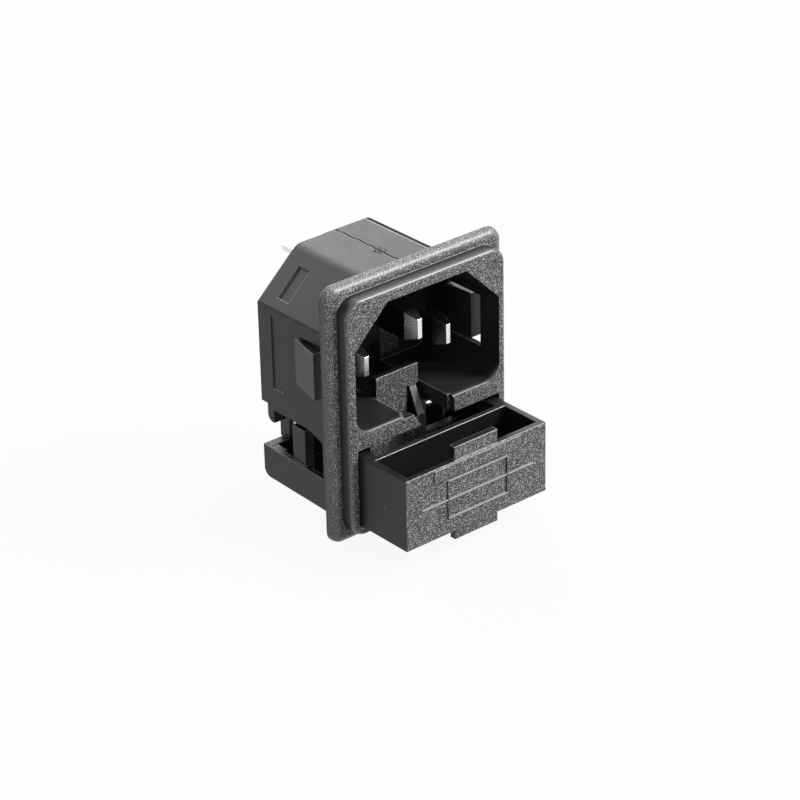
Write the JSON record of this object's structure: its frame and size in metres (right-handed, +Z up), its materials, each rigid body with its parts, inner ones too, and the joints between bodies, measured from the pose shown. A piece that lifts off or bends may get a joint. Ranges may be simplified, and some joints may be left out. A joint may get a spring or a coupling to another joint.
{
  "type": "panel power inlet socket with fuse drawer",
  "caption": "Snap-in C14 panel power inlet with a pull-out fuse drawer below the opening, shown with the drawer pulled out.",
  "frame": {"origin": "centre of the panel cut-out, on the plane where the back of the flange meets the panel", "axes": "+Z up, +Y into the equipment, -Y towards the user, +X to the right seen from the front"},
  "size_m": [0.03, 0.0365, 0.0371],
  "materials": {
    "black_plastic": "spark-eroded texture on the front faces, smooth on the sides",
    "carrier_plastic": "smooth",
    "nickel": "nickel plated",
    "tinned_brass": "tin plated",
    "spring_bronze": "bright",
    "fuse_glass": "clear"
  },
  "bodies": {
    "socket": {"socket_housing": "black_plastic", "terminal_carrier": "carrier_plastic", "line_pin": "nickel", "neutral_pin": "nickel", "earth_pin": "nickel", "line_strap": "tinned_brass", "line_terminal": "tinned_brass", "neutral_terminal": "tinned_brass", "earth_terminal": "tinned_brass", "fuse_spring_right": "spring_bronze", "fuse_spring_left": "spring_bronze", "spring_rivet_right": "nickel", "spring_rivet_left": "nickel"},
    "drawer": {"fuse_drawer": "black_plastic", "fuse_tube": "fuse_glass", "fuse_cap_left": "nickel", "fuse_cap_right": "nickel", "fuse_wire": "tinned_brass"}
  },
  "joints": [
    {"name": "drawer_slide", "type": "slide", "parent": "socket", "child": "drawer", "axis": [0, -1, 0], "range_m": [-0.0081, 0.0053]}
  ]
}
